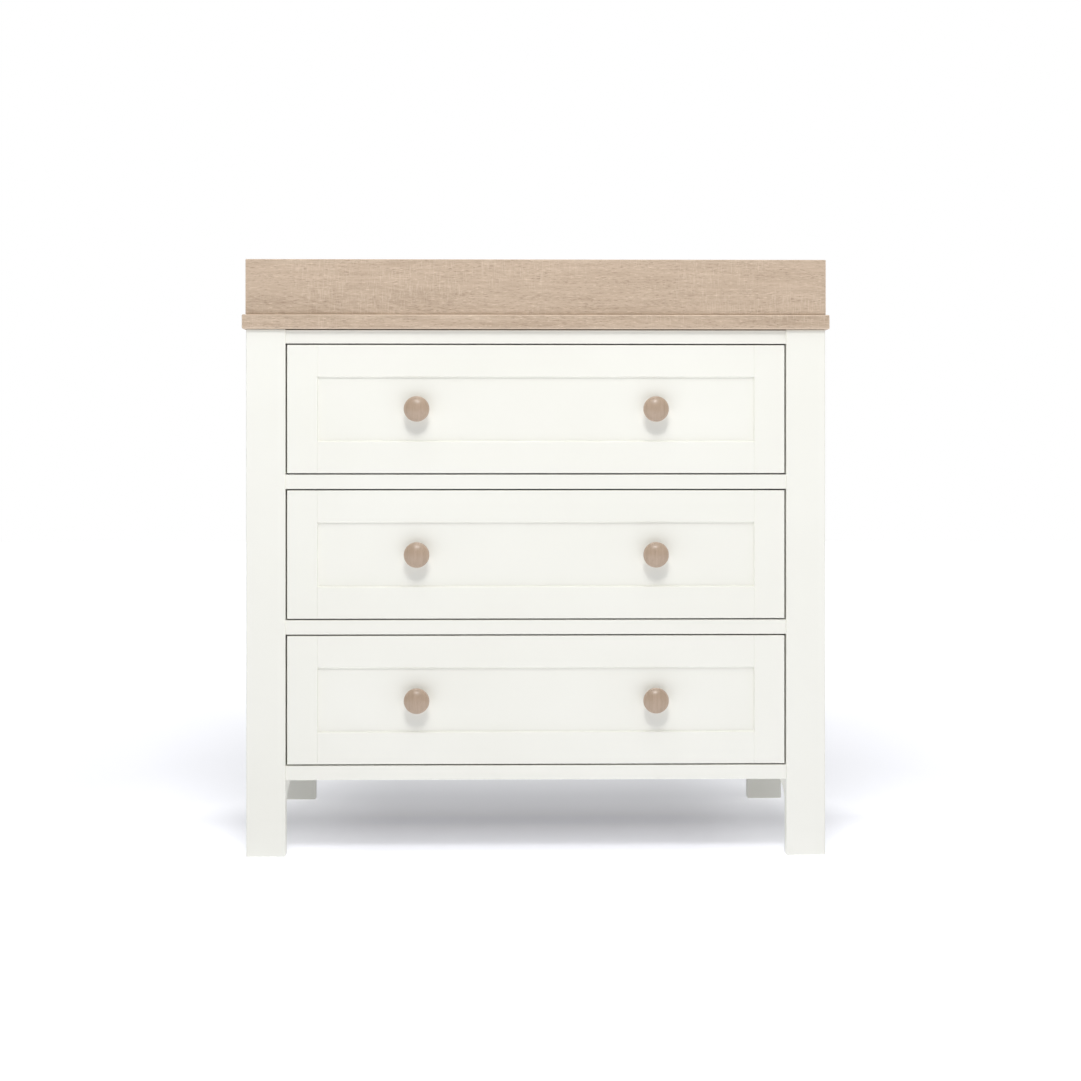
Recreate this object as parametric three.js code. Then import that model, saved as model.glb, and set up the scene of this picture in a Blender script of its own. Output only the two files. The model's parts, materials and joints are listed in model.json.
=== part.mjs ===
// A three-drawer changing table: a painted carcass under a wood-effect worktop, a lift-off changing
// tray that stands on the worktop, and inset panelled drawers that run on steel slides.
// Millimetres, +Z up. The drawers open towards -Y, and left is -X, as seen from the front.
// The origin is on the floor under the middle of the bounding box.
import * as THREE from "three";

const GAP = 0.3; // clearance left between parts that touch

// Overall
const LEG_SPAN = 888; // outside faces of the legs
const CARCASS_DEPTH = 494; // front face of the front legs to rear face of the rear legs
const FRONT = -238.5; // front face of the front legs
const REAR = FRONT + CARCASS_DEPTH;
const TOTAL_HEIGHT = 915;

// Legs: flat posts, wide across the front and shallow from front to back
const LEG_WIDTH = 60;
const LEG_DEPTH = 22;
const OPENING_HALF = LEG_SPAN / 2 - LEG_WIDTH; // inside face of a leg, from the centre plane

// Worktop and changing tray
const WORKTOP_WIDTH = 900;
const WORKTOP_THICKNESS = 22;
const WORKTOP_OVERHANG = 6; // past the front of the legs
const TRAY_WIDTH = 890;
const TRAY_HEIGHT = 85;
const TRAY_BOARD = 20;
const WORKTOP_TOP = TOTAL_HEIGHT - TRAY_HEIGHT;
const CARCASS_TOP = WORKTOP_TOP - WORKTOP_THICKNESS;

// Drawer openings, with a rail under each one and one more at the top
const RAIL_HEIGHT = 22;
const RAIL_DEPTH = 50;
const RAIL_SETBACK = 2.5; // rails and drawer fronts lie behind the faces of the legs
const TOP_RAIL_GAP = 1.3; // between the top rail and the worktop
const OPENING_HEIGHT = 201;
const PITCH = OPENING_HEIGHT + RAIL_HEIGHT;
const LEVELS = ["bottom", "middle", "top"];
const FIRST_OPENING = CARCASS_TOP - LEVELS.length * PITCH;

// Drawer fronts
const FRONT_GAP_SIDE = 2.3;
const FRONT_GAP_END = 2.2;
const FRONT_THICKNESS = 18;
const STILE = 46.4; // width of the frame at the ends of a drawer front
const FRAME_RAIL = 48.2; // width of the frame along its top and bottom
const PANEL_RECESS = 4;
const RECESS_SLOPE = 0.8; // how far the wall of the recess leans over its depth

// Drawer boxes
const SLIDE_SPACE = 12.7; // between a drawer side and the inside face of a leg
const BOX_HALF = OPENING_HALF - SLIDE_SPACE;
const BOX_LENGTH = 420;
const BOX_BOARD = 12;
const BOX_LIFT = 12; // lower edge of a drawer side above its opening
const BOX_HEIGHT = 150;
const BOX_BACK_HEIGHT = 122;
const BOTTOM_LIFT = 10; // groove above the lower edge of a drawer side
const BOTTOM_THICKNESS = 6;
const GROOVE_DEPTH = 6;

// Knobs
const KNOB_X = 183;
const KNOB_PROFILE = [
  [0, 0], [8.4, 0], [7.4, 2], [7.0, 5.5], [7.8, 8.5], [10.6, 10.8], [15.4, 12.8], [18.6, 14.4],
  [19.6, 16.3], [19.5, 18.2], [18.5, 19.6], [17.4, 19.9], [16.6, 20.9], [13.6, 23.0], [9.4, 24.8],
  [4.8, 25.8], [0, 26],
]; // radius, distance from the drawer front

// Slides: a channel on the carcass with a smaller one, on the drawer, inside it
const SLIDE_LENGTH = 400;
const SLIDE_START = FRONT + 24;
const SLIDE_LIFT = 60; // middle of a slide above its opening
const SLIDE_WALL = 1.5;
const OUTER_CHANNEL = { height: 45, depth: 11 };
const INNER_CHANNEL = { height: 36, depth: 8.4 };

// Sides and back of the carcass
const SIDE_PANEL = { inside: 424, thickness: 16 };
const BATTEN = { thickness: 22, height: 50 };
const APRON_TOP = FIRST_OPENING + SLIDE_LIFT + 30;
const ARCH = { endHeight: 84, rise: 24, reach: 100, steps: 12 };
const BACK_RAIL = { thickness: 22, setback: 3.2, height: 60, bottom: 100 };
const BACK_PANEL_THICKNESS = 4;
const BASE_PANEL = { bottom: FIRST_OPENING - 17, thickness: 6 };

// Steel plates that hold the tray to the rear edge of the worktop
const PLATE = { x: 300, width: 50, height: 60, thickness: 2.5, bottom: 812, hole: 2.6 };

const EASE = { leg: 1.5, rail: 0.8, worktop: 2, tray: 1.2, front: 1.4, box: 0.8, panel: 0.4 };
const EDGE_PULL = [0, 0, 1 - Math.SQRT1_2, 1 - 1 / Math.sqrt(3)]; // by number of faces that meet

const FINISH = {
  paint: { color: 0xf1f0e8, roughness: 0.45, metalness: 0 },
  oak: { color: 0xc3ad90, roughness: 0.55, metalness: 0 },
  knob: { color: 0xb09580, roughness: 0.5, metalness: 0 },
  box: { color: 0xe6e2d8, roughness: 0.6, metalness: 0 },
  steel: { color: 0xb9bcc0, roughness: 0.35, metalness: 1 },
};

const group = new THREE.Group();
group.name = "changing_table";

function add(name, geometry, finish) {
  const mesh = new THREE.Mesh(geometry, new THREE.MeshStandardMaterial(FINISH[finish]));
  mesh.name = name;
  group.add(mesh);
}

// The low and high ends of a span, swapped and negated on the left.
const mirrored = (side, [low, high]) => (side < 0 ? [-high, -low] : [low, high]);
const SIDES = [["left", -1], ["right", 1]];

// A board over three spans, its edges and corners eased. cuts adds grid lines to its faces.
function board(x, y, z, ease, cuts = [[], [], []]) {
  const stations = [x, y, z].map(([low, high], axis) =>
    [low, low + ease, ...cuts[axis], high - ease, high]);
  const last = stations.map((list) => list.length - 1);
  const geometry = new THREE.BoxGeometry(1, 1, 1, ...last);
  const position = geometry.attributes.position;
  for (let i = 0; i < position.count; i++) {
    const index = last.map((n, axis) => Math.round((position.getComponent(i, axis) + 0.5) * n));
    const inward = index.map((k, axis) => (k === 0) - (k === last[axis]));
    const pull = ease * EDGE_PULL[inward.filter(Boolean).length];
    position.setXYZ(i, ...stations.map((list, axis) => list[index[axis]] + inward[axis] * pull));
  }
  return geometry;
}

// A drawer front: a board whose face has a recessed panel inside a frame.
function panelledFront(x, y, z) {
  const inner = [[x[0] + STILE, x[1] - STILE], null, [z[0] + FRAME_RAIL, z[1] - FRAME_RAIL]];
  const cuts = inner.map((span) =>
    span ? [span[0], span[0] + RECESS_SLOPE, span[1] - RECESS_SLOPE, span[1]] : []);
  const geometry = board(x, y, z, EASE.front, cuts);
  const position = geometry.attributes.position;
  const inside = (value, [low, high]) => value > low + RECESS_SLOPE / 2 && value < high - RECESS_SLOPE / 2;
  for (let i = 0; i < position.count; i++) {
    const onFace = position.getY(i) < y[0] + 0.01;
    if (onFace && inside(position.getX(i), inner[0]) && inside(position.getZ(i), inner[2]))
      position.setY(i, y[0] + PANEL_RECESS);
  }
  return geometry;
}

// An outline of [x, z] points carried along Y.
function alongY(points, [y0, y1]) {
  const shape = new THREE.Shape(points.map(([x, z]) => new THREE.Vector2(x, z)));
  return new THREE.ExtrudeGeometry(shape, { depth: y1 - y0, bevelEnabled: false })
    .rotateX(Math.PI / 2)
    .translate(0, y1, 0);
}

// A side board between the legs, straight on top and arched below, over a span of X.
function archedSide(x, top) {
  const [y0, y1] = [FRONT + LEG_DEPTH + GAP, REAR - LEG_DEPTH - GAP];
  const curve = [];
  for (let i = 0; i <= ARCH.steps; i++) {
    const angle = (i / ARCH.steps) * (Math.PI / 2);
    curve.push([ARCH.reach * (1 - Math.cos(angle)), ARCH.endHeight + ARCH.rise * Math.sin(angle)]);
  }
  const front = curve.map(([run, height]) => new THREE.Vector2(y0 + run, height));
  const rear = curve.map(([run, height]) => new THREE.Vector2(y1 - run, height)).reverse();
  const shape = new THREE.Shape([
    ...front, ...rear, new THREE.Vector2(y1, top), new THREE.Vector2(y0, top),
  ]);
  const turn = new THREE.Matrix4().makeBasis(
    new THREE.Vector3(0, 1, 0), new THREE.Vector3(0, 0, 1), new THREE.Vector3(1, 0, 0));
  return new THREE.ExtrudeGeometry(shape, { depth: x[1] - x[0], bevelEnabled: false })
    .applyMatrix4(turn)
    .translate(x[0], 0, 0);
}

// A channel along Y with its back at x = back and its open side towards x = back + reach.
function channel(back, reach, middle, { height }) {
  const [half, wall, way] = [height / 2, SLIDE_WALL, Math.sign(reach)];
  const outline = [
    [0, -half], [reach, -half], [reach, wall - half], [way * wall, wall - half],
    [way * wall, half - wall], [reach, half - wall], [reach, half], [0, half],
  ].map(([x, z]) => [back + x, middle + z]);
  return alongY(outline, [SLIDE_START, SLIDE_START + SLIDE_LENGTH]);
}

// Legs, side panels and side aprons
for (const [hand, side] of SIDES) {
  const legX = mirrored(side, [OPENING_HALF, LEG_SPAN / 2]);
  const legZ = [0, CARCASS_TOP - GAP];
  add(`leg_front_${hand}`, board(legX, [FRONT, FRONT + LEG_DEPTH], legZ, EASE.leg), "paint");
  add(`leg_rear_${hand}`, board(legX, [REAR - LEG_DEPTH, REAR], legZ, EASE.leg), "paint");
  const panelX = [SIDE_PANEL.inside, SIDE_PANEL.inside + SIDE_PANEL.thickness];
  add(`side_panel_${hand}`, archedSide(mirrored(side, panelX), CARCASS_TOP - GAP), "paint");
  const battenX = mirrored(side, [OPENING_HALF, OPENING_HALF + BATTEN.thickness]);
  add(`side_apron_${hand}`, archedSide(battenX, APRON_TOP), "paint");
  for (const level of [1, 2]) {
    const middle = FIRST_OPENING + level * PITCH + SLIDE_LIFT;
    const battenY = [FRONT + LEG_DEPTH + GAP, REAR - LEG_DEPTH - GAP];
    const battenZ = [middle - BATTEN.height / 2, middle + BATTEN.height / 2];
    add(`runner_batten_${LEVELS[level]}_${hand}`, board(battenX, battenY, battenZ, EASE.rail), "paint");
  }
}

// Front rails, from the floor up
const RAIL_X = [GAP - OPENING_HALF, OPENING_HALF - GAP];
const RAIL_Y = [FRONT + RAIL_SETBACK, FRONT + RAIL_SETBACK + RAIL_DEPTH];
["bottom", "lower", "upper", "top"].forEach((place, i) => {
  const top = FIRST_OPENING + i * PITCH - (place === "top" ? TOP_RAIL_GAP : 0);
  add(`front_rail_${place}`, board(RAIL_X, RAIL_Y, [FIRST_OPENING + i * PITCH - RAIL_HEIGHT, top],
    EASE.rail), "paint");
});

// Rear rails, back panel and base panel
const BACK_RAIL_Y = [REAR - BACK_RAIL.setback - BACK_RAIL.thickness, REAR - BACK_RAIL.setback];
const BACK_PANEL_Y = [BACK_RAIL_Y[0] - GAP - BACK_PANEL_THICKNESS, BACK_RAIL_Y[0] - GAP];
const REAR_RAILS = { bottom: BACK_RAIL.bottom, top: CARCASS_TOP - GAP - BACK_RAIL.height };
for (const [place, low] of Object.entries(REAR_RAILS))
  add(`rear_rail_${place}`, board(RAIL_X, BACK_RAIL_Y, [low, low + BACK_RAIL.height], EASE.rail), "paint");
add("back_panel", board(RAIL_X, BACK_PANEL_Y,
  [BASE_PANEL.bottom + BASE_PANEL.thickness + GAP, CARCASS_TOP - GAP], EASE.panel), "box");
add("base_panel", board(RAIL_X, [RAIL_Y[1] + GAP, BACK_RAIL_Y[0] - GAP],
  [BASE_PANEL.bottom, BASE_PANEL.bottom + BASE_PANEL.thickness], EASE.panel), "box");

// Worktop. The grid lines set off the area that lies inside the tray.
const MAT_X = TRAY_WIDTH / 2 - TRAY_BOARD - 5;
const MAT_Y = [FRONT + TRAY_BOARD + 5, REAR - TRAY_BOARD - 5];
add("worktop", board([-WORKTOP_WIDTH / 2, WORKTOP_WIDTH / 2], [FRONT - WORKTOP_OVERHANG, REAR],
  [CARCASS_TOP, WORKTOP_TOP], EASE.worktop, [[-MAT_X, MAT_X], MAT_Y, []]), "oak");

// Changing tray: a full-width board at the front and at the back, with the sides between them
const TRAY_X = [-TRAY_WIDTH / 2, TRAY_WIDTH / 2];
const TRAY_Z = [WORKTOP_TOP + GAP, TOTAL_HEIGHT];
add("tray_front", board(TRAY_X, [FRONT, FRONT + TRAY_BOARD], TRAY_Z, EASE.tray), "oak");
add("tray_back", board(TRAY_X, [REAR - TRAY_BOARD, REAR], TRAY_Z, EASE.tray), "oak");
for (const [hand, side] of SIDES) {
  add(`tray_side_${hand}`, board(mirrored(side, [TRAY_X[1] - TRAY_BOARD, TRAY_X[1]]),
    [FRONT + TRAY_BOARD + GAP, REAR - TRAY_BOARD - GAP], TRAY_Z, EASE.tray), "oak");
  const outline = new THREE.Shape([[-1, 0], [1, 0], [1, 1], [-1, 1]].map(([x, z]) =>
    new THREE.Vector2(side * PLATE.x + (x * PLATE.width) / 2, PLATE.bottom + z * PLATE.height)));
  for (const x of [-0.3, 0.3])
    for (const z of [0.15, 0.55, 0.85])
      outline.holes.push(new THREE.Path().absarc(side * PLATE.x + x * PLATE.width,
        PLATE.bottom + z * PLATE.height, PLATE.hole, 0, 2 * Math.PI));
  const plate = new THREE.ExtrudeGeometry(outline,
    { depth: PLATE.thickness, bevelEnabled: false, curveSegments: 16 });
  plate.rotateX(Math.PI / 2).translate(0, REAR + GAP + PLATE.thickness, 0);
  add(`tray_plate_${hand}`, plate, "steel");
}

// Drawers and their slides
LEVELS.forEach((level, i) => {
  const base = FIRST_OPENING + i * PITCH;
  const faceY = FRONT + RAIL_SETBACK;
  const frontX = OPENING_HALF - FRONT_GAP_SIDE;
  add(`drawer_${level}_front`, panelledFront([-frontX, frontX], [faceY, faceY + FRONT_THICKNESS],
    [base + FRONT_GAP_END, base + OPENING_HEIGHT - FRONT_GAP_END]), "paint");

  const boxY = [faceY + FRONT_THICKNESS + GAP, faceY + FRONT_THICKNESS + GAP + BOX_LENGTH];
  const sideZ = [base + BOX_LIFT, base + BOX_LIFT + BOX_HEIGHT];
  const grooveZ = [sideZ[0] + BOTTOM_LIFT, sideZ[0] + BOTTOM_LIFT + BOTTOM_THICKNESS + 2 * GAP];
  const innerHalf = BOX_HALF - BOX_BOARD;
  const bottomHalf = innerHalf + GROOVE_DEPTH - GAP;
  add(`drawer_${level}_bottom`, board([-bottomHalf, bottomHalf], boxY,
    [grooveZ[0] + GAP, grooveZ[1] - GAP], EASE.panel), "box");
  add(`drawer_${level}_back`, board([GAP - innerHalf, innerHalf - GAP], [boxY[1] - BOX_BOARD, boxY[1]],
    [grooveZ[1], grooveZ[1] + BOX_BACK_HEIGHT], EASE.box), "box");

  for (const [hand, side] of SIDES) {
    const outline = [
      [BOX_HALF, sideZ[0]], [BOX_HALF, sideZ[1]], [innerHalf, sideZ[1]], [innerHalf, grooveZ[1]],
      [innerHalf + GROOVE_DEPTH, grooveZ[1]], [innerHalf + GROOVE_DEPTH, grooveZ[0]],
      [innerHalf, grooveZ[0]], [innerHalf, sideZ[0]],
    ].map(([x, z]) => [side * x, z]);
    add(`drawer_${level}_side_${hand}`, alongY(outline, boxY), "box");

    const knob = new THREE.LatheGeometry(KNOB_PROFILE.map(([r, h]) => new THREE.Vector2(r, h)), 40);
    knob.rotateX(Math.PI).translate(side * KNOB_X, faceY + PANEL_RECESS - GAP, base + OPENING_HEIGHT / 2);
    add(`drawer_${level}_knob_${hand}`, knob, "knob");

    const middle = base + SLIDE_LIFT;
    add(`slide_${level}_${hand}_outer`,
      channel(side * (OPENING_HALF - GAP), -side * OUTER_CHANNEL.depth, middle, OUTER_CHANNEL), "steel");
    add(`slide_${level}_${hand}_inner`,
      channel(side * (BOX_HALF + GAP), side * INNER_CHANNEL.depth, middle, INNER_CHANNEL), "steel");
  }
});

export default group;
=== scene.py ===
import json
import math

import bpy
import numpy as np
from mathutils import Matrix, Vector


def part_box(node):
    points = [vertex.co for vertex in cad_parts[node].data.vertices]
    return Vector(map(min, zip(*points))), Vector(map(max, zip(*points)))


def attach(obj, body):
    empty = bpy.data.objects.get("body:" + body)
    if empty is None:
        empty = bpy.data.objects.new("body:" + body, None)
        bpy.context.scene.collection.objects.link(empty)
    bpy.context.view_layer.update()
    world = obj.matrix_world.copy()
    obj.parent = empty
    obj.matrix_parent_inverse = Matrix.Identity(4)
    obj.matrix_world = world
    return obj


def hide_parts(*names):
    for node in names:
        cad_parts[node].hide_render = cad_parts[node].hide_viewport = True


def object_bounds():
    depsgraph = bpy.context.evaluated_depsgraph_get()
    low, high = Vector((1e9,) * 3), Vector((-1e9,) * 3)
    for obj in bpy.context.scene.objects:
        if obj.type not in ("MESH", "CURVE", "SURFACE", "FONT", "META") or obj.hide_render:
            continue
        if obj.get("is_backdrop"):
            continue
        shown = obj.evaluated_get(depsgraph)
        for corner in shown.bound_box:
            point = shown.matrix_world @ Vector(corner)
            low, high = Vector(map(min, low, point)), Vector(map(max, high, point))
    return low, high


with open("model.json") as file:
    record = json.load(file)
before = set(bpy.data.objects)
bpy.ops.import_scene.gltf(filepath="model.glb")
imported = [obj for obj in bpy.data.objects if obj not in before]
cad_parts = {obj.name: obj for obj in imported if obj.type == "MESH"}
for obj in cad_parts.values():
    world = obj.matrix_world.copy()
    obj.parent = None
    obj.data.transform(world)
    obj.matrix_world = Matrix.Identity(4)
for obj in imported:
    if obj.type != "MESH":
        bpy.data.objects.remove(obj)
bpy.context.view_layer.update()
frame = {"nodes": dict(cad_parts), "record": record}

LEVELS = ("bottom", "middle", "top")
HANDS = (("left", -1), ("right", 1))


# ---------------------------------------------------------------- shapes

def make_piece(name, grids, material, body, replaces=(), edge=None):
    """One smooth piece from grids of points, rows by columns, whose rows x columns direction points out.
    Points closer than a ten-thousandth of a millimetre become one vertex, so seams and poles close, and a
    quad with two equal corners becomes a triangle. edge is a value for each point, kept as an attribute."""
    points = np.concatenate([grid.reshape(-1, 3) for grid in grids])
    quads, start = [], 0
    for grid in grids:
        rows, columns = grid.shape[:2]
        index = start + np.arange(rows * columns).reshape(rows, columns)
        corners = [index[:-1, :-1], index[1:, :-1], index[1:, 1:], index[:-1, 1:]]
        quads.append(np.stack(corners, -1).reshape(-1, 4))
        start += rows * columns
    keys = np.round(points / 1e-7).astype(np.int64)
    _, first, merged = np.unique(keys, axis=0, return_index=True, return_inverse=True)
    quads = merged.reshape(-1)[np.concatenate(quads)]
    repeat = quads == np.roll(quads, -1, axis=1)
    count = repeat.sum(1)
    triangles = quads[count == 1][~repeat[count == 1]].reshape(-1, 3)
    quads = quads[count == 0]

    mesh = bpy.data.meshes.new(name)
    mesh.vertices.add(len(first))
    mesh.vertices.foreach_set("co", points[first].astype(np.float32).ravel())
    mesh.loops.add(4 * len(quads) + 3 * len(triangles))
    corners = np.concatenate([quads.ravel(), triangles.ravel()]).astype(np.int32)
    mesh.loops.foreach_set("vertex_index", corners)
    starts = np.concatenate([4 * np.arange(len(quads)), 4 * len(quads) + 3 * np.arange(len(triangles))])
    mesh.polygons.add(len(starts))
    mesh.polygons.foreach_set("loop_start", starts.astype(np.int32))
    mesh.polygons.foreach_set("use_smooth", np.ones(len(starts), dtype=bool))
    mesh.update(calc_edges=True)
    if edge is not None:
        layer = mesh.attributes.new("edge", "FLOAT", "POINT")
        layer.data.foreach_set("value", np.concatenate([e.ravel() for e in edge])[first].astype(np.float32))
    mesh.materials.append(material)
    piece = bpy.data.objects.new(name, mesh)
    bpy.context.scene.collection.objects.link(piece)
    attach(piece, body)
    if replaces:
        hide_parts(*replaces)
    return piece


def eased_box(low, high, radius, cuts=((), (), ()), steps=4):
    """Six grids that make a box with rounded edges, and how far each point is into an edge, from 0 to 1.
    A point of the sharp box goes to its nearest point on the box that is smaller by the radius all round,
    and from there out by the radius, so flats stay flat and edges are quarter circles. The lines near an
    edge lie at radius x (1 - tan a) from it, for equal steps of the angle a."""
    low, high = np.array(low, float), np.array(high, float)
    near = radius * (1 - np.tan(np.linspace(np.pi / 4, 0, steps + 1)))
    near = np.append(near, 1.7 * radius)
    lines = [np.concatenate([low[k] + near, np.array(cuts[k], float), high[k] - near[::-1]])
             for k in range(3)]
    grids, edges = [], []
    for a in range(3):
        b, c = (a + 1) % 3, (a + 2) % 3
        for side in (low, high):
            grid = np.empty((len(lines[b]), len(lines[c]), 3))
            grid[..., a] = side[a]
            grid[..., b] = lines[b][:, None]
            grid[..., c] = lines[c][None, :]
            core = np.clip(grid, low + radius, high - radius)
            out = grid - core
            out /= np.linalg.norm(out, axis=-1, keepdims=True)
            grid = core + radius * out
            edge = np.minimum(1, math.sqrt(2) * np.sort(np.abs(out), axis=-1)[..., 1])
            if side is low:
                grid, edge = grid.transpose(1, 0, 2), edge.T
            grids.append(grid)
            edges.append(edge)
    return grids, edges


def board(name, low, high, radius, material, body, replaces=()):
    """A flat board with rounded edges between two corners."""
    grids, edges = eased_box(low, high, radius)
    return make_piece(name, grids, material, body, replaces, edges)


def frame_board(name, low, high, inner, depth, lean, radius, material, body, replaces):
    """A stile or rail of a drawer front. Its inner face, at the low or high end of one axis as inner says,
    leans by lean x (y - front) / depth down to the panel, and is straight from there back."""
    low, high = np.array(low, float), np.array(high, float)
    grids, edges = eased_box(low, high, radius, ((), (low[1] + depth,), ()))
    axis, end = inner
    for grid in grids:
        near = grid[..., axis] > (low[axis] + high[axis]) / 2
        down = np.clip((grid[..., 1] - low[1]) / depth, 0, 1)
        grid[..., axis] += end * lean * down * (near == (end > 0))
    return make_piece(name, grids, material, body, replaces, edges)


def arched_board(name, node, radius, rise, reach, material, body):
    """A board whose lower edge is arched along Y. Its height at the low edge grows by
    rise x sqrt(1 - (1 - run / reach)^2), with run the distance from the nearer end, and the
    growth fades evenly to nothing at the top."""
    low, high = np.array(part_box(node))
    steps = reach * (1 - np.cos(np.linspace(0, np.pi / 2, 25)[2:]))
    ends = np.concatenate([low[1] + steps, high[1] - steps[::-1]])
    grids, edges = eased_box(low, high, radius, ((), ends, ()))
    for grid in grids:
        run = np.clip(np.minimum(grid[..., 1] - low[1], high[1] - grid[..., 1]), 0, reach)
        lift = rise * np.sqrt(1 - (1 - run / reach) ** 2)
        grid[..., 2] += lift * (high[2] - grid[..., 2]) / (high[2] - low[2])
    return make_piece(name, grids, material, body, (node,), edges)


def smooth_profile(points, per_step):
    """A Catmull-Rom curve through the points: between two of them it is the cubic whose slope at each is
    half the way from the point before to the point after."""
    p = np.array(points, float)
    p = np.concatenate([2 * p[:1] - p[1:2], p, 2 * p[-1:] - p[-2:-1]])
    t = np.linspace(0, 1, per_step, endpoint=False)[None, :, None]
    a, b, c, d = (p[k:len(p) - 3 + k][:, None, :] for k in range(4))
    curve = 0.5 * (2 * b + (c - a) * t + (2 * a - 5 * b + 4 * c - d) * t ** 2
                   + (3 * b - 3 * c + d - a) * t ** 3)
    return np.concatenate([curve.reshape(-1, 2), p[-2:-1]])


def turned(profile, centre, axis, columns):
    """A profile of (radius, height) turned about an axis: the height runs from the centre along the axis,
    and the radius swings once round it. The angle runs clockwise seen from the tip."""
    axis = Vector(axis).normalized()
    side = axis.orthogonal().normalized()
    across = np.array(axis.cross(side))
    angle = np.linspace(0, 2 * np.pi, columns + 1)
    angle[-1] = 0
    ring = np.cos(angle)[:, None] * np.array(side) - np.sin(angle)[:, None] * across
    r, h = profile[:, 0][:, None, None], profile[:, 1][:, None, None]
    return np.array(centre) + h * np.array(axis) + r * ring[None]


def screw_head(centre, axis, radius, height, turn):
    """A pan head with a cross recess. The head is a low dome, height x (1 - (r / radius)^4)^(1/2), and the
    cross sinks it where the distance to either of two crossed lines is small and r is under 0.62 radius."""
    axis = Vector(axis).normalized()
    side = axis.orthogonal().normalized()
    across = np.array(axis.cross(side))
    side = np.array(side)
    angle = np.linspace(0, 2 * np.pi, 49)
    angle[-1] = 0
    s = np.sin(np.linspace(np.pi / 2, 0, 19))
    r = radius * np.concatenate([[0, 1], s])
    h = height * np.concatenate([[-0.05, -0.05], np.sqrt(1 - s ** 4)])
    r, h, angle = r[:, None], h[:, None], angle[None, :]
    x, y = r * np.cos(angle + turn), r * np.sin(angle + turn)
    arm = np.minimum(np.abs(x), np.abs(y)) / (0.13 * radius)
    reach = np.clip((0.62 - r / radius) / 0.08, 0, 1)
    h = h - 0.55 * height * reach * np.clip(1.6 - arm, 0, 1)
    ring = np.cos(angle)[..., None] * side - np.sin(angle)[..., None] * across
    return np.array(centre) + h[..., None] * np.array(axis) + r[..., None] * ring


# ---------------------------------------------------------------- finishes

class Finish:
    """A material for one surface shader. Steady values go on the shader's own sockets, and what varies over
    the surface comes from the patterns, which all read Object coordinates or the piece's own attribute."""

    def __init__(self, name, **steady):
        self.material = bpy.data.materials.new(name)
        self.material.use_nodes = True
        self.tree = self.material.node_tree
        self.shader = self.tree.nodes["Principled BSDF"]
        for socket, value in steady.items():
            self.shader.inputs[socket.replace("_", " ")].default_value = value
        self.object = self.node("ShaderNodeTexCoord").outputs["Object"]

    def node(self, kind, inputs=(), **settings):
        made = self.tree.nodes.new(kind)
        for key, value in settings.items():
            setattr(made, key, value)
        for key, value in dict(inputs).items():
            if isinstance(value, bpy.types.NodeSocket):
                self.tree.links.new(value, made.inputs[key])
            else:
                made.inputs[key].default_value = value
        return made

    def placed(self, scale=(1, 1, 1), move=(0, 0, 0)):
        return self.node("ShaderNodeMapping", {
            "Vector": self.object, "Scale": scale, "Location": move}).outputs[0]

    def noise(self, vector, scale, detail=2.0, roughness=0.5, warp=0.0):
        return self.node("ShaderNodeTexNoise", {
            "Vector": vector, "Scale": scale, "Detail": detail, "Roughness": roughness,
            "Distortion": warp}).outputs["Fac"]

    def bands(self, vector, scale, warp, detail=2.0, detail_scale=1.0):
        return self.node("ShaderNodeTexWave", {
            "Vector": vector, "Scale": scale, "Distortion": warp, "Detail": detail,
            "Detail Scale": detail_scale}, bands_direction="DIAGONAL").outputs["Fac"]

    def span(self, value, low, high, to_low=0.0, to_high=1.0, smooth=False):
        return self.node("ShaderNodeMapRange", {
            "Value": value, "From Min": low, "From Max": high, "To Min": to_low, "To Max": to_high},
            interpolation_type="SMOOTHSTEP" if smooth else "LINEAR").outputs[0]

    def math(self, operation, a, b):
        return self.node("ShaderNodeMath", {0: a, 1: b}, operation=operation).outputs[0]

    def mix(self, factor, a, b):
        made = self.node("ShaderNodeMix", data_type="RGBA")
        for socket, value in ((made.inputs[0], factor), (made.inputs[6], a), (made.inputs[7], b)):
            if isinstance(value, bpy.types.NodeSocket):
                self.tree.links.new(value, socket)
            else:
                socket.default_value = (*value, 1) if isinstance(value, tuple) else value
        return made.outputs[2]

    def bump(self, height, distance, strength=1.0, below=None):
        inputs = {"Height": height, "Distance": distance, "Strength": strength}
        if below is not None:
            inputs["Normal"] = below
        return self.node("ShaderNodeBump", inputs).outputs["Normal"]

    def edge(self):
        return self.node("ShaderNodeAttribute", attribute_name="edge").outputs["Fac"]

    def wire(self, **sockets):
        for socket, value in sockets.items():
            self.tree.links.new(value, self.shader.inputs[socket.replace("_", " ")])
        return self.material


def ivory_lacquer():
    """Sprayed ivory lacquer on fibreboard: a fine orange peel, soft patches of sheen, and eased edges that
    handling has rubbed a little smoother and warmer."""
    f = Finish("ivory_lacquer", Specular_IOR_Level=0.45, Coat_Weight=0.12, Coat_Roughness=0.3)
    patches = f.noise(f.placed(), 3.5, 3.0)
    peel = f.noise(f.placed(), 620.0, 2.0, 0.55)
    drift = f.noise(f.placed(), 45.0, 2.0)
    handled = f.span(f.noise(f.placed(), 28.0, 4.0, 0.65), 0.48, 0.66, smooth=True)
    rubbed = f.math("MULTIPLY", f.edge(), handled)
    colour = f.mix(f.span(patches, 0.35, 0.65), (0.862, 0.855, 0.780), (0.885, 0.879, 0.808))
    colour = f.mix(f.math("MULTIPLY", rubbed, 0.15), colour, (0.82, 0.80, 0.71))
    gloss = f.span(f.noise(f.placed(), 11.0, 3.0), 0.3, 0.7, 0.36, 0.47)
    gloss = f.math("SUBTRACT", gloss, f.math("MULTIPLY", rubbed, 0.08))
    normal = f.bump(peel, 0.00006, 0.6)
    normal = f.bump(drift, 0.0003, 0.25, normal)
    return f.wire(Base_Color=colour, Roughness=gloss, Normal=normal)


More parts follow.
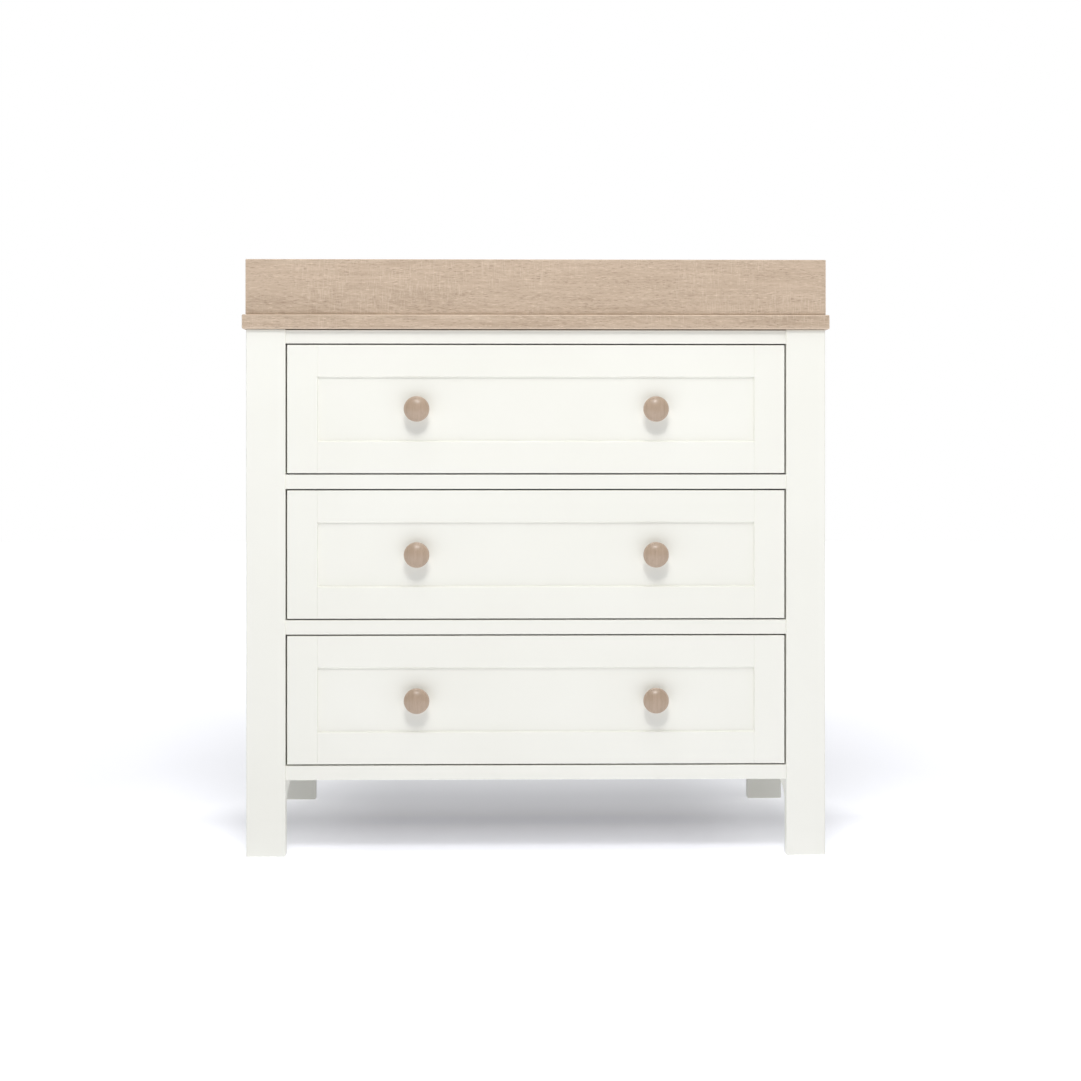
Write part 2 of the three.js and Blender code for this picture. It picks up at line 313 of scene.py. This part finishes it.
def oak_foil(name, grain, shift):
    """Pale sawn oak printed on foil and pressed to match: broad tones and fine flecks along the grain,
    growth lines that open into flames, short dark pores, and pale saw marks across. The eased edges are
    painted paler, a painted highlight along the arrises."""
    f = Finish(name, Specular_IOR_Level=0.35)

    def along(x, across):
        return f.placed((across, x, across) if grain == "y" else (x, across, across), shift)

    tone = f.noise(along(1.6, 13.0), 1.0, 4.0, 0.6, 0.4)
    streak = f.noise(along(9.0, 150.0), 1.0, 5.0, 0.65)
    fleck = f.noise(along(95.0, 620.0), 1.0, 3.0, 0.6)
    lines = f.bands(along(0.35, 1.0), 42.0, 9.0, 2.0, 1.3)
    flames = f.span(f.noise(along(1.2, 6.0), 1.0, 2.0), 0.46, 0.62, smooth=True)
    pores = f.span(f.noise(along(110.0, 1000.0), 1.0, 2.0, 0.6), 0.56, 0.68, smooth=True)
    pore_areas = f.span(f.noise(along(6.0, 40.0), 1.0, 2.0), 0.34, 0.60)
    sawn = f.span(f.noise(along(700.0, 60.0), 1.0, 2.0, 0.6), 0.52, 0.68, smooth=True)
    sawn_areas = f.span(f.noise(along(7.0, 13.0), 1.0, 3.0), 0.42, 0.60, smooth=True)

    colour = f.mix(f.span(tone, 0.32, 0.68), (0.437, 0.331, 0.238), (0.527, 0.407, 0.301))
    colour = f.mix(f.span(streak, 0.34, 0.68, 0.0, 0.55), colour, (0.645, 0.512, 0.389))
    colour = f.mix(f.span(fleck, 0.42, 0.30, 0.0, 0.60), colour, (0.295, 0.209, 0.144))
    colour = f.mix(f.span(fleck, 0.57, 0.72, 0.0, 0.55), colour, (0.787, 0.645, 0.498))
    line_depth = f.math("MULTIPLY", f.math("MULTIPLY", f.span(lines, 0.55, 0.98), flames), 0.26)
    colour = f.mix(line_depth, colour, (0.328, 0.235, 0.161))
    pore_depth = f.math("MULTIPLY", f.math("MULTIPLY", pores, pore_areas), 0.60)
    colour = f.mix(pore_depth, colour, (0.246, 0.169, 0.110))
    marks = f.math("MULTIPLY", sawn, sawn_areas)
    colour = f.mix(f.math("MULTIPLY", marks, 0.30), colour, (0.754, 0.629, 0.498))
    # Painted highlight: every eased edge is painted paler, in place of the light caught on the arrises.
    colour = f.mix(f.math("MULTIPLY", f.edge(), 0.70), colour, (0.810, 0.667, 0.525))

    raised = f.math("ADD", f.math("MULTIPLY", streak, 0.5), f.math("MULTIPLY", marks, 0.25))
    sunk = f.math("MULTIPLY", f.math("ADD", pores, line_depth), 0.5)
    relief = f.math("SUBTRACT", raised, sunk)
    gloss = f.span(streak, 0.3, 0.7, 0.62, 0.46)
    return f.wire(Base_Color=colour, Roughness=gloss, Normal=f.bump(relief, 0.00022, 0.55))


def knob_wood():
    """Taupe-stained turned beech under satin lacquer: grain lines up the disc and short pores. A ring near
    the rim of the disc is painted paler, a painted highlight."""
    f = Finish("turned_taupe_beech", Specular_IOR_Level=0.5, Coat_Weight=0.22, Coat_Roughness=0.22)
    grain = f.noise(f.placed((420.0, 60.0, 26.0)), 1.0, 4.0, 0.6, 0.4)
    fleck = f.span(f.noise(f.placed((1500.0, 400.0, 170.0)), 1.0, 2.0), 0.58, 0.70, smooth=True)
    colour = f.mix(f.span(grain, 0.3, 0.7), (0.400, 0.294, 0.208), (0.472, 0.354, 0.260))
    colour = f.mix(f.math("MULTIPLY", fleck, 0.35), colour, (0.285, 0.200, 0.145))
    # Painted highlight: the disc is painted paler in a ring near its rim, from the piece's edge attribute.
    colour = f.mix(f.math("MULTIPLY", f.edge(), 0.30), colour, (0.590, 0.460, 0.365))
    gloss = f.span(grain, 0.3, 0.7, 0.44, 0.34)
    height = f.math("SUBTRACT", f.math("MULTIPLY", grain, 0.4), f.math("MULTIPLY", fleck, 0.6))
    return f.wire(Base_Color=colour, Roughness=gloss, Normal=f.bump(height, 0.00012, 0.5))


def linen_foil():
    """Off-white foil with a fine linen weave pressed in, for the drawer boxes."""
    f = Finish("off_white_linen_foil", Specular_IOR_Level=0.4)
    threads = [f.noise(f.placed(stretch), 1.0, 1.0) for stretch in
               ((60.0, 1500.0, 1500.0), (1500.0, 60.0, 1500.0), (1500.0, 1500.0, 60.0))]
    weave = f.math("ADD", f.math("ADD", threads[0], threads[1]), threads[2])
    colour = f.mix(f.span(weave, 1.15, 1.85), (0.700, 0.685, 0.640), (0.790, 0.778, 0.735))
    gloss = f.span(f.noise(f.placed(), 20.0, 3.0), 0.3, 0.7, 0.46, 0.58)
    return f.wire(Base_Color=colour, Roughness=gloss, Normal=f.bump(weave, 0.00006, 0.5))


def hardboard():
    """Painted hardboard: a soft mottle of pressed fibres under a thin off-white coat."""
    f = Finish("painted_hardboard", Specular_IOR_Level=0.35)
    fibres = f.noise(f.placed(), 420.0, 4.0, 0.7, 1.2)
    cloud = f.noise(f.placed(), 9.0, 3.0)
    colour = f.mix(f.span(cloud, 0.3, 0.7), (0.715, 0.698, 0.648), (0.748, 0.734, 0.686))
    colour = f.mix(f.span(fibres, 0.56, 0.74, 0.0, 0.3), colour, (0.560, 0.520, 0.445))
    gloss = f.span(fibres, 0.3, 0.7, 0.70, 0.56)
    return f.wire(Base_Color=colour, Roughness=gloss, Normal=f.bump(fibres, 0.00015, 0.5))


def zinc(name, bright, draw=(900.0, 25.0, 900.0)):
    """Zinc-plated steel, drawn along one axis: fine lines with the rolling, faint spangle, and duller spots
    where the plating has taken fingerprints."""
    f = Finish(name, Metallic=1.0)
    drawn = f.noise(f.placed(draw), 1.0, 3.0, 0.6)
    spangle = f.noise(f.placed(), 240.0, 1.0)
    prints = f.span(f.noise(f.placed(), 38.0, 3.0), 0.52, 0.68, smooth=True)
    colour = f.mix(f.span(spangle, 0.3, 0.7), tuple(0.84 * c for c in bright), bright)
    colour = f.mix(f.math("MULTIPLY", prints, 0.35), colour, (0.42, 0.41, 0.39))
    gloss = f.math("ADD", f.span(drawn, 0.3, 0.7, 0.24, 0.40), f.math("MULTIPLY", prints, 0.12))
    return f.wire(Base_Color=colour, Roughness=gloss, Normal=f.bump(drawn, 0.00005, 0.5))


LACQUER = ivory_lacquer()
OAK_TOP = oak_foil("sawn_oak_foil_worktop", "x", (0.0, 0.0, 0.0))
OAK_FRONT = oak_foil("sawn_oak_foil_tray_front", "x", (3.1, 1.7, 0.4))
OAK_BACK = oak_foil("sawn_oak_foil_tray_back", "x", (7.3, 5.2, 2.9))
OAK_SIDE = oak_foil("sawn_oak_foil_tray_side", "y", (1.9, 8.6, 5.3))
KNOB = knob_wood()
FOIL = linen_foil()
HARDBOARD = hardboard()
ZINC = zinc("zinc_plated_channel", (0.66, 0.67, 0.69))
ZINC_PLATE = zinc("zinc_plated_plate", (0.70, 0.70, 0.71), (25.0, 900.0, 900.0))
BRIGHT = zinc("zinc_plated_screw", (0.74, 0.74, 0.75), (300.0, 300.0, 300.0))


# ---------------------------------------------------------------- boards

body_of = {node: body for body, nodes in frame["record"]["behaviour"]["bodies"].items() for node in nodes}

EASED = (  # start of the node's name, edge radius, finish, slot
    ("leg_", 0.0015, LACQUER, "white_paint"),
    ("front_rail_", 0.0008, LACQUER, "white_paint"),
    ("rear_rail_", 0.0008, LACQUER, "white_paint"),
    ("runner_batten_", 0.0008, LACQUER, "white_paint"),
    ("back_panel", 0.0004, HARDBOARD, "backing_board"),
    ("base_panel", 0.0004, HARDBOARD, "backing_board"),
    ("worktop", 0.0020, OAK_TOP, "wood_effect"),
    ("tray_front", 0.0012, OAK_FRONT, "wood_effect"),
    ("tray_back", 0.0012, OAK_BACK, "wood_effect"),
    ("tray_side_", 0.0012, OAK_SIDE, "wood_effect"),
)
HOUSED = {"front_rail_": 0.0008, "back_panel": 0.0080}  # how far these run past their openings at each end
for start, radius, finish, slot in EASED:
    for node in sorted(n for n in body_of if n.startswith(start)):
        low, high = (np.array(corner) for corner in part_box(node))
        low[0], high[0] = low[0] - HOUSED.get(start, 0), high[0] + HOUSED.get(start, 0)
        board(f"{node}_board", low, high, radius, finish, body_of[node], (node,))

# Strips that fill the slot between the back panel and the rear legs.
STRIP_WIDTH = 0.016
panel_low, panel_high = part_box("back_panel")
leg_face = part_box("leg_rear_left")[0][1]
for hand, side in HANDS:
    ends = sorted((side * panel_high[0], side * (panel_high[0] + STRIP_WIDTH)))
    board(f"back_panel_strip_{hand}", (ends[0], panel_high[1], panel_low[2]),
          (ends[1], leg_face, panel_high[2]), 0.0003, LACQUER, "carcass")

ARCH_RISE, ARCH_REACH = 0.024, 0.100
for hand, _ in HANDS:
    arched_board(f"side_panel_{hand}_board", f"side_panel_{hand}", 0.0012, ARCH_RISE, ARCH_REACH,
                 LACQUER, "carcass")
    arched_board(f"side_apron_{hand}_board", f"side_apron_{hand}", 0.0008, ARCH_RISE, ARCH_REACH,
                 LACQUER, "carcass")


# ---------------------------------------------------------------- drawers

STILE, FRAME_RAIL, RECESS = 0.0464, 0.0482, 0.004
STILE_LEAN, UPPER_LEAN, LOWER_LEAN = 0.0006, 0.0016, 0.0020  # how far each inner face leans out to the panel
TONGUE = 0.0004  # how far the panel runs into the frame
JOINT = 0.0008  # radius of the frame's edges, which leaves a fine groove where two pieces meet

# The knob's outline from foot to tip: a waisted neck, a disc with a fine step, and a low crown.
KNOB_CURVE = smooth_profile([
    (0.0, 0.0), (4.6, 0.0), (8.0, 0.0), (8.4, 0.3), (8.1, 1.1), (7.4, 2.4), (7.0, 4.4), (7.0, 6.2),
    (7.6, 8.2), (9.2, 9.8), (12.0, 11.4), (15.4, 12.8), (18.0, 14.0), (19.3, 15.3), (19.6, 16.8),
    (19.4, 18.2), (18.8, 19.2), (18.2, 19.6), (17.7, 19.6), (17.3, 19.8), (16.6, 20.7), (14.6, 22.3),
    (11.6, 23.9), (7.8, 25.2), (3.9, 25.85), (0.0, 26.0)], 4) * 0.001
RIM_RADIUS, RIM_SOFTNESS, RIM_FROM = 0.0186, 0.0011, 0.016  # where the disc is painted paler near its rim, a painted highlight
WASHER_THICKNESS = 0.0012
WASHER_CURVE = np.array([(0, 0), (0.0080, 0), (0.0083, 0.0003), (0.0083, 0.0009),
                         (0.0080, WASHER_THICKNESS), (0, WASHER_THICKNESS)])
CAM_SETBACK, CAM_HEIGHTS = 0.024, (0.045, 0.118)  # from the drawer side's front end and lower edge

for level in LEVELS:
    body = f"drawer_{level}"
    node = f"drawer_{level}_front"
    low, high = (np.array(corner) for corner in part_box(node))
    inner_x = (low[0] + STILE, high[0] - STILE)
    inner_z = (low[2] + FRAME_RAIL, high[2] - FRAME_RAIL)
    frame_pieces = {
        "stile_left": (low, (inner_x[0], high[1], high[2]), (0, 1), STILE_LEAN),
        "stile_right": ((inner_x[1], low[1], low[2]), high, (0, -1), STILE_LEAN),
        "rail_top": ((inner_x[0], low[1], inner_z[1]), (inner_x[1], high[1], high[2]), (2, -1), UPPER_LEAN),
        "rail_bottom": ((inner_x[0], low[1], low[2]), (inner_x[1], high[1], inner_z[0]), (2, 1), LOWER_LEAN),
    }
    for part, (a, b, inner, lean) in frame_pieces.items():
        frame_board(f"drawer_{level}_{part}", a, b, inner, RECESS, lean, JOINT, LACQUER, body,
                    (node,))
    board(f"drawer_{level}_panel", (inner_x[0] - TONGUE, low[1] + RECESS, inner_z[0] - TONGUE),
          (inner_x[1] + TONGUE, high[1] - JOINT, inner_z[1] + TONGUE),
          JOINT, LACQUER, body, (node,))
    for part, radius in (("back", 0.0008), ("bottom", 0.0004)):
        a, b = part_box(f"drawer_{level}_{part}")
        board(f"drawer_{level}_{part}_board", a, b, radius, FOIL, body,
              (f"drawer_{level}_{part}",))

    side_low, side_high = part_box(f"drawer_{level}_side_left")
    inner_wall = abs(side_high[0])
    for hand, side in HANDS:
        knob = f"drawer_{level}_knob_{hand}"
        a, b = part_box(knob)
        base = ((a[0] + b[0]) / 2, b[1], (a[2] + b[2]) / 2)
        grid = turned(KNOB_CURVE, base, (0, -1, 0), 72)
        # The ring near the rim of the disc that the knob's finish paints paler, a painted highlight.
        rim_highlight = np.exp(-((KNOB_CURVE[:, 0] - RIM_RADIUS) / RIM_SOFTNESS) ** 2) * (KNOB_CURVE[:, 1] > RIM_FROM)
        rim_highlight = np.repeat(rim_highlight[:, None], grid.shape[1], axis=1)
        make_piece(f"{knob}_turned", [grid], KNOB, body, (knob,), [rim_highlight])

        behind = np.array((base[0], high[1], base[2]))
        washer = turned(WASHER_CURVE, behind, (0, 1, 0), 48)
        head = screw_head(behind + (0, WASHER_THICKNESS, 0), (0, 1, 0), 0.0045, 0.0026, 0.4 + side)
        make_piece(f"{knob}_screw", [washer, head], BRIGHT, body)

        cams = [screw_head((side * inner_wall, side_low[1] + CAM_SETBACK, side_low[2] + up), (-side, 0, 0),
                           0.0072, 0.0007, 0.7 + up * 9) for up in CAM_HEIGHTS]
        make_piece(f"drawer_{level}_cams_{hand}", cams, BRIGHT, body)
        frame["nodes"][f"drawer_{level}_side_{hand}"].data.materials[0] = FOIL


# ---------------------------------------------------------------- slides and plates

def ball_row(start, stop, count, radius):
    """Balls in a row from start to stop: each is a half circle of (r sin t, -r cos t) turned about X."""
    t = np.linspace(0, np.pi, 7)
    curve = np.stack([radius * np.sin(t), -radius * np.cos(t)], 1)
    curve[[0, -1], 0] = 0
    centres = np.linspace(start, stop, count)
    return [turned(curve, centre, (1, 0, 0), 10) for centre in centres]


CHANNEL_WALL = 0.0015
OUTER_SCREWS, INNER_SCREWS = (0.030, 0.192, 0.370), (0.044, 0.170, 0.350)  # from the channel's front end
BALL_RADIUS, BALLS_IN_ROW = 0.00125, 8
ROW_START, ROW_LENGTH = 0.008, 0.084
CAGE_WIDTH, CAGE_THICKNESS, CAGE_END = 0.0044, 0.0008, 0.004  # the strip that holds a row of balls

for level in LEVELS:
    for hand, side in HANDS:
        outer, inner = f"slide_{level}_{hand}_outer", f"slide_{level}_{hand}_inner"
        o_low, o_high = (np.array(c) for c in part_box(outer))
        i_low, i_high = (np.array(c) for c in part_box(inner))
        o_face = o_high[0] - CHANNEL_WALL if side > 0 else o_low[0] + CHANNEL_WALL
        i_face = i_low[0] + CHANNEL_WALL if side > 0 else i_high[0] - CHANNEL_WALL
        middle, front = (o_low[2] + o_high[2]) / 2, o_low[1]
        heads = [screw_head((o_face, front + y, middle), (-side, 0, 0), 0.0036, 0.0016, y * 31)
                 for y in OUTER_SCREWS]
        make_piece(f"{outer}_screws", heads, BRIGHT, "carcass")
        heads = [screw_head((i_face, front + y, middle), (side, 0, 0), 0.0036, 0.0016, y * 17)
                 for y in INNER_SCREWS]
        make_piece(f"{inner}_screws", heads, BRIGHT, f"drawer_{level}")
        across = (i_low[0] + i_high[0]) / 2
        gap = ((o_high[2] - CHANNEL_WALL) + i_high[2]) / 2 - middle
        grids = []
        for up in (-gap, gap):
            row = np.array([across, front + ROW_START, middle + up])
            grids += ball_row(row, row + (0, ROW_LENGTH, 0), BALLS_IN_ROW, BALL_RADIUS)
            half = np.array([CAGE_WIDTH / 2, CAGE_END, CAGE_THICKNESS / 2])
            grids += eased_box(row - half, row + half + (0, ROW_LENGTH, 0), 0.0002, steps=2)[0]
        make_piece(f"slide_{level}_{hand}_balls", grids, BRIGHT, "carcass")
        for node in (outer, inner):
            frame["nodes"][node].data.materials[0] = ZINC

PLATE_SCREWS_ACROSS, PLATE_SCREWS_UP = (0.2, 0.8), (0.15, 0.85)  # fractions of the plate
for hand, _ in HANDS:
    plate = f"tray_plate_{hand}"
    low, high = (np.array(c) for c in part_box(plate))
    size = high - low
    heads = [screw_head((low[0] + size[0] * u, high[1], low[2] + size[2] * v), (0, 1, 0),
                        0.0042, 0.0020, u * 7 + v)
             for u in PLATE_SCREWS_ACROSS for v in PLATE_SCREWS_UP]
    make_piece(f"{plate}_screws", heads, BRIGHT, "changing_tray")
    frame["nodes"][plate].data.materials[0] = ZINC_PLATE


# ---------------------------------------------------------------- studio

GLOW_UNDER, GLOW_EVEN, GLOW_FAR = 0.12, 0.60, 0.50


def floor(reach):
    """A flat square floor at z = 0, a grid of three points by three, out to the reach on all sides. It
    glows a little, least under the chest and more with the distance aside and with that to the front or
    back, up to an even level, and again more with the distance all round."""
    u = np.linspace(-reach, reach, 3)
    x, y = np.meshgrid(u, u, indexing="ij")
    mesh = bpy.data.meshes.new("studio_floor")
    index = np.arange(9).reshape(3, 3)
    quads = np.stack([index[:-1, :-1], index[1:, :-1], index[1:, 1:], index[:-1, 1:]], -1).reshape(-1, 4)
    mesh.from_pydata(np.stack([x, y, np.zeros_like(x)], -1).reshape(-1, 3).tolist(), [], quads.tolist())
    f = Finish("pale_studio_floor", Roughness=0.9, Specular_IOR_Level=0.1)
    tone = f.span(f.noise(f.placed(), 1.2, 2.0), 0.3, 0.7)
    place = f.node("ShaderNodeSeparateXYZ", {0: f.placed(move=(0, -0.045, 0))}).outputs
    aside, ahead = f.math("ABSOLUTE", place["X"], 0.0), f.math("ABSOLUTE", place["Y"], 0.0)
    near = f.math("ADD", f.span(aside, 0.22, 0.68, GLOW_UNDER, GLOW_EVEN, smooth=True),
                  f.span(ahead, 0.02, 0.50, 0.0, GLOW_EVEN - GLOW_UNDER))
    away = f.node("ShaderNodeVectorMath", {0: f.object}, operation="LENGTH").outputs["Value"]
    f.shader.inputs["Emission Color"].default_value = (0.97, 0.98, 1.0, 1)
    glow = f.math("ADD", f.math("MINIMUM", near, GLOW_EVEN), f.span(away, 0.9, 3.4, 0.0, GLOW_FAR))
    mesh.materials.append(f.wire(Base_Color=f.mix(tone, (0.840, 0.845, 0.915), (0.850, 0.855, 0.925)),
                                 Emission_Strength=glow))
    made = bpy.data.objects.new("studio_floor", mesh)
    bpy.context.scene.collection.objects.link(made)
    made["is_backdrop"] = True


def softbox(name, place, aim, size, power):
    """A rectangular soft white light at a place, turned to face its aim."""
    data = bpy.data.lights.new(name, "AREA")
    data.shape, data.size, data.size_y = "RECTANGLE", size[0], size[1]
    data.energy = power
    made = bpy.data.objects.new(name, data)
    made.location = place
    made.rotation_euler = (Vector(aim) - Vector(place)).to_track_quat("-Z", "Y").to_euler()
    bpy.context.scene.collection.objects.link(made)


def studio_air(strength):
    """An even pale surround. It lights the object less than it shows behind it, as a lit white wall far
    beyond the floor would."""
    world = bpy.data.worlds.new("studio_air")
    world.use_nodes = True
    nodes, links = world.node_tree.nodes, world.node_tree.links
    lit = nodes["Background"]
    lit.inputs["Color"].default_value = (0.985, 0.99, 1.0, 1)
    lit.inputs["Strength"].default_value = strength
    seen = nodes.new("ShaderNodeBackground")
    seen.inputs["Color"].default_value = (1, 1, 1, 1)
    seen.inputs["Strength"].default_value = 1.0
    choose, path = nodes.new("ShaderNodeMixShader"), nodes.new("ShaderNodeLightPath")
    links.new(path.outputs["Is Camera Ray"], choose.inputs[0])
    links.new(lit.outputs[0], choose.inputs[1])
    links.new(seen.outputs[0], choose.inputs[2])
    links.new(choose.outputs[0], nodes["World Output"].inputs["Surface"])
    bpy.context.scene.world = world


floor(9.0)
studio_air(0.12)
softbox("key_above_front", (-0.05, -2.50, 3.20), (0.0, -0.24, 0.50), (1.0, 0.8), 58)
softbox("overhead", (0.0, -0.95, 3.0), (0.0, -0.95, 0.0), (2.4, 1.5), 24)
softbox("fill_right", (2.6, -1.9, 1.9), (0.2, -0.2, 0.3), (1.2, 1.2), 5)
bpy.context.scene.view_settings.view_transform = "Standard"

# The camera is level, a little to the left of square on, and sees the floor by shifting its frame down.
FRONT_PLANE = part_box("leg_front_left")[0][1]
DISTANCE, TURN, EYE = 2.95, math.radians(0.95), 0.635
FRAME_WIDTH = 1.6572  # how much of the front plane fits across the frame
ASIDE, MIDDLE_HEIGHT = 0.0064, 0.484  # where its middle falls there: right of the axis, above the floor
SENSOR = 36
camera = bpy.data.objects.new("camera", bpy.data.cameras.new("camera"))
camera.data.sensor_width = SENSOR
camera.data.lens = SENSOR * DISTANCE / FRAME_WIDTH
camera.data.shift_x = ASIDE / FRAME_WIDTH
camera.data.shift_y = (MIDDLE_HEIGHT - EYE) / FRAME_WIDTH
camera.location = (-DISTANCE * math.sin(TURN), FRONT_PLANE - DISTANCE * math.cos(TURN), EYE)
camera.rotation_euler = (math.pi / 2, 0, -TURN)
bpy.context.scene.collection.objects.link(camera)
bpy.context.scene.camera = camera

low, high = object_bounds()
